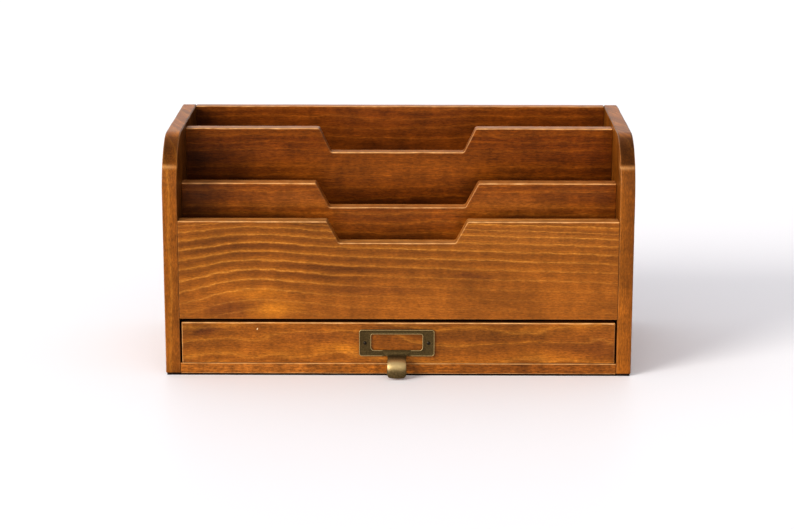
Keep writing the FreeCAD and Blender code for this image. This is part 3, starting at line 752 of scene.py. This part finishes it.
def thinPly():
    # birch plywood, thin, wiped with the same stain: pale brown, faint straight fibres, dull
    material, tree = newMaterial("birchPly")
    place = addNode(tree, "ShaderNodeTexCoord")
    fibreMap = addNode(tree, "ShaderNodeMapping", {"Scale": (25, 900, 900)}, {0: place.outputs["Object"]})
    fibres = addNode(tree, "ShaderNodeTexNoise", {"Scale": 1.0, "Detail": 4.0}, {0: fibreMap.outputs[0]})
    colour = addNode(tree, "ShaderNodeValToRGB", {"stops": [(0.3, "#9A6634"), (0.7, "#B98349")]},
                     {0: fibres.outputs[0]})
    bump = addNode(tree, "ShaderNodeBump", {"Strength": 0.3, "Distance": 0.0001},
                   {"Height": fibres.outputs[0]})
    shader = addNode(tree, "ShaderNodeBsdfPrincipled", {"Roughness": 0.6},
                     {"Base Color": colour.outputs[0], "Normal": bump.outputs[0]})
    addNode(tree, "ShaderNodeOutputMaterial", links={0: shader.outputs[0]})
    return material


def bareBeech():
    # beech dowel, fluted and unfinished: pale, dull, short dark flecks
    material, tree = newMaterial("beechDowel")
    place = addNode(tree, "ShaderNodeTexCoord")
    fleckMap = addNode(tree, "ShaderNodeMapping", {"Scale": (300, 2500, 2500)}, {0: place.outputs["Object"]})
    flecks = addNode(tree, "ShaderNodeTexNoise", {"Scale": 1.0, "Detail": 2.0}, {0: fleckMap.outputs[0]})
    colour = addNode(tree, "ShaderNodeValToRGB", {"stops": [(0.35, "#B98E5E"), (0.6, "#D4AE7E")]},
                     {0: flecks.outputs[0]})
    shader = addNode(tree, "ShaderNodeBsdfPrincipled", {"Roughness": 0.7}, {"Base Color": colour.outputs[0]})
    addNode(tree, "ShaderNodeOutputMaterial", links={0: shader.outputs[0]})
    return material


def dullSteel():
    # bright drawn steel brads gone dull: grey, slightly streaked
    material, tree = newMaterial("drawnSteel")
    place = addNode(tree, "ShaderNodeTexCoord")
    scuffs = addNode(tree, "ShaderNodeTexNoise", {"Scale": 2500.0, "Detail": 2.0},
                     {0: place.outputs["Object"]})
    colour = addNode(tree, "ShaderNodeValToRGB", {"stops": [(0.35, "#6E6C69"), (0.65, "#918E8A")]},
                     {0: scuffs.outputs[0]})
    shader = addNode(tree, "ShaderNodeBsdfPrincipled", {"Metallic": 1.0, "Roughness": 0.45},
                     {"Base Color": colour.outputs[0]})
    addNode(tree, "ShaderNodeOutputMaterial", links={0: shader.outputs[0]})
    return material


dress("drawer_bottom", thinPly())
beech, steel = bareBeech(), dullSteel()
for node in ("case_dowels", "drawer_dowels"):
    dress(node, beech)
for node in ("back_brads", "drawer_brads"):
    dress(node, steel)


# the stamped label frame with its finger tongue, in mm
pull = {
    "width": 53.4, "height": 19.4, "bottom": 14.6,
    "windowWidth": 36.2, "windowHeight": 11.6, "windowBottom": 19.0,
    "plateLevel": 1.0, "rimLevel": 1.35,
    "gapHalf": 8.0,               # the lower bar stops here, under the tongue's shoulders
    "tongueRoot": 10.2, "tongueNeck": 6.45, "tongueWidth": 6.8,   # half widths
    "tongueThickness": 1.2, "tipRound": 3.0, "tip": 1.4,
    "firstStraight": 1.0, "hollowRadius": 3.6, "slopeLength": 4.4, "rollRadius": 7.7,
    "bend": math.radians(70),
    "shoulder": (0.9, 4.8),       # start and length of the taper from root to neck
    "flare": (6.0, 6.0),          # start and length of the widening below the neck
    "crown": 0.95,                # how far the tongue's middle stands out of its edges
    "sectionPower": 0.35,         # flattens the section: 1 would be an ellipse
    "rubbedAt": 12.5, "rubbedWidth": 5.0,   # where along the tongue fingers rub most
}


def antiqueBrass():
    # stamped brass darkened with an antique patina and lacquered: olive brown and mottled where untouched,
    # bare warm metal where fingers and edges have rubbed it
    material, tree = newMaterial("antiqueBrass")
    place = addNode(tree, "ShaderNodeTexCoord")
    wear = addNode(tree, "ShaderNodeAttribute", {"attribute_name": "wear"})
    mottle = addNode(tree, "ShaderNodeTexNoise", {"Scale": 1000 / 1.1, "Detail": 4.0, "Roughness": 0.6},
                     {0: place.outputs["Object"]})
    patina = addNode(tree, "ShaderNodeValToRGB",
                     {"stops": [(0.30, "#43361D"), (0.5, "#4F4127"), (0.70, "#5E4E30")]},
                     {0: mottle.outputs[0]})
    rubbed = addNode(tree, "ShaderNodeMath", {"operation": "MULTIPLY_ADD", 1: 0.5, 2: -0.25},
                     {0: mottle.outputs[0]})
    bare = addNode(tree, "ShaderNodeMath", {"operation": "ADD", "use_clamp": True},
                   {0: wear.outputs["Fac"], 1: rubbed.outputs[0]})
    shareBare = addNode(tree, "ShaderNodeMath", {"operation": "MULTIPLY", "use_clamp": True},
                        {0: bare.outputs[0], 1: wear.outputs["Fac"]})
    colour = addNode(tree, "ShaderNodeMix", {"data_type": "RGBA", 7: toLinear("#CDB27E")},
                     {0: shareBare.outputs[0], 6: patina.outputs[0]})
    rough = addNode(tree, "ShaderNodeMapRange", {"To Min": 0.50, "To Max": 0.40}, {0: shareBare.outputs[0]})
    bump = addNode(tree, "ShaderNodeBump", {"Strength": 0.25, "Distance": 0.0001},
                   {"Height": mottle.outputs[0]})
    shader = addNode(tree, "ShaderNodeBsdfPrincipled", {"Metallic": 0.9},
                     {"Base Color": colour.outputs[2], "Roughness": rough.outputs[0],
                      "Normal": bump.outputs[0]})
    addNode(tree, "ShaderNodeOutputMaterial", links={0: shader.outputs[0]})
    return material


def addPlate(name, face):
    # the frame's C-shaped outline carried outwards: edge wall, raised round rim, then the flat plate
    half, low, high = pull["width"] / 2, pull["bottom"], pull["bottom"] + pull["height"]
    hole, gap = pull["windowWidth"] / 2, pull["gapHalf"]
    sill, head = pull["windowBottom"], pull["windowBottom"] + pull["windowHeight"]
    corners = [(gap, low), (half, low), (half, high), (-half, high), (-half, low), (-gap, low),
               (-gap, sill), (-hole, sill), (-hole, head), (hole, head), (hole, sill), (gap, sill)]
    radii = [0.3, 2.0, 2.0, 2.0, 2.0, 0.3, 0.3, 2.2, 1.2, 1.2, 2.2, 0.3]
    lengths = np.linalg.norm(np.roll(np.array(corners), -1, 0) - np.array(corners), axis=1)
    counts = np.maximum((lengths / 1.5).astype(int), 2)
    plate, rim = pull["plateLevel"], pull["rimLevel"]
    profile = [(0.0, 0.0, 0.0), (0.0, 0.8, 0.1), (0.04, rim - 0.18, 0.6), (0.16, rim - 0.04, 0.8),
               (0.34, rim, 0.8), (0.52, rim - 0.06, 0.45), (0.68, rim - 0.2, 0.2),
               (0.80, plate + 0.04, 0.05), (0.95, plate, 0.0)]
    rings, wear = [], []
    for inset, height, rub in profile:
        loop, _ = outlineLoop(corners, radii, inset, counts, 8)
        underTongue = (np.abs(loop[:, 0]) < pull["tongueRoot"]) & (loop[:, 1] < sill + 0.5)
        lowered = np.where(underTongue, np.minimum(height, plate), height)
        loop = loop + (pull["middle"], 0)
        rings.append(facingFront(loop, face - lowered))
        wear.append(np.where(underTongue, min(rub, 0.2), rub))
    return meshFromRings(name, np.stack(rings), np.stack(wear))


def addTongue(name, face):
    # a flat-sided round-edged section carried along a path: straight down, bent outwards, straight, bent
    # down again. The path's heading is a piecewise straight function of its length, and its points are the
    # running sum of it
    bend = pull["bend"]
    hollow, roll = pull["hollowRadius"] * bend, pull["rollRadius"] * bend
    down = np.cumsum([0, pull["firstStraight"], hollow, pull["slopeLength"], roll])
    fine = np.linspace(0, 40, 4001)
    heading = np.interp(fine, down, [0, 0, bend, bend, 0])
    stepSize = fine[1]
    out = pull["tongueThickness"] / 2 + np.cumsum(np.sin(heading)) * stepSize
    height = pull["windowBottom"] - np.cumsum(np.cos(heading)) * stepSize
    length = fine[np.argmax(height < pull["tip"])]
    ease = np.linspace(0, 1, 90)
    place = length * (1 - (1 - ease) ** 1.35)
    p, z, h = (np.interp(place, fine, values) for values in (out, height, heading))
    (shoulder, shoulderLength), (flare, flareLength) = pull["shoulder"], pull["flare"]
    narrowed = (pull["tongueNeck"] - pull["tongueRoot"]) * smoothStep((place - shoulder) / shoulderLength)
    widened = (pull["tongueWidth"] - pull["tongueNeck"]) * smoothStep((place - flare) / flareLength)
    halfWidth = pull["tongueRoot"] + narrowed + widened
    r = pull["tipRound"]
    intoTip = np.clip((place - (length - r)) / r, 0, 1)
    halfWidth -= r * (1 - np.sqrt(1 - intoTip ** 2)) * 0.98
    intoEdge = np.clip((place - (length - 0.6)) / 0.6, 0, 0.995)
    halfThick = pull["tongueThickness"] / 2 * np.sqrt(1 - intoEdge ** 2)
    angle = np.linspace(0, 2 * math.pi, 64, endpoint=False)
    across = np.sign(np.cos(angle)) * np.abs(np.cos(angle)) ** pull["sectionPower"]
    thick = np.sign(np.sin(angle)) * np.abs(np.sin(angle)) ** pull["sectionPower"]
    crown = pull["crown"] * np.clip((place - 5) / 6, 0, 1)
    x = halfWidth[:, None] * across
    offset = halfThick[:, None] * thick - crown[:, None] * np.abs(across) ** 2.6
    forwards = p[:, None] + offset * np.cos(h)[:, None]
    upwards = z[:, None] + offset * np.sin(h)[:, None]
    # not into the wood
    rings = np.stack([x + pull["middle"], np.minimum(face - forwards, face), upwards], -1)
    rubbed = np.exp(-((place - pull["rubbedAt"]) / pull["rubbedWidth"]) ** 2) + 0.12
    front = np.clip(thick, 0, 1)
    wear = rubbed[:, None] * (0.25 + 0.75 * front) * np.clip(place / 6, 0.15, 1)[:, None]
    return meshFromRings(name, rings, wear)


face = nodeBox("drawer_front")[0][1]
pull["middle"] = (nodeBox("label_pull")[0][0] + nodeBox("label_pull")[1][0]) / 2
brass = antiqueBrass()
standsFor(addPlate("pullFrame", face), "label_pull", "drawer", brass)
standsFor(addTongue("pullTongue", face), "label_pull", "drawer", brass)


def darkBrass():
    # small pin heads gone nearly black in their seats, with a little gloss left on the domes
    material, tree = newMaterial("darkBrassPins")
    place = addNode(tree, "ShaderNodeTexCoord")
    grime = addNode(tree, "ShaderNodeTexNoise", {"Scale": 1000 / 0.8, "Detail": 3.0},
                    {0: place.outputs["Object"]})
    colour = addNode(tree, "ShaderNodeValToRGB", {"stops": [(0.4, "#0D0905"), (0.7, "#3A2D18")]},
                     {0: grime.outputs[0]})
    shader = addNode(tree, "ShaderNodeBsdfPrincipled", {"Metallic": 0.7, "Roughness": 0.32},
                     {"Base Color": colour.outputs[0]})
    addNode(tree, "ShaderNodeOutputMaterial", links={0: shader.outputs[0]})
    return material


dress("pull_pins", darkBrass())
print("pull is in place")
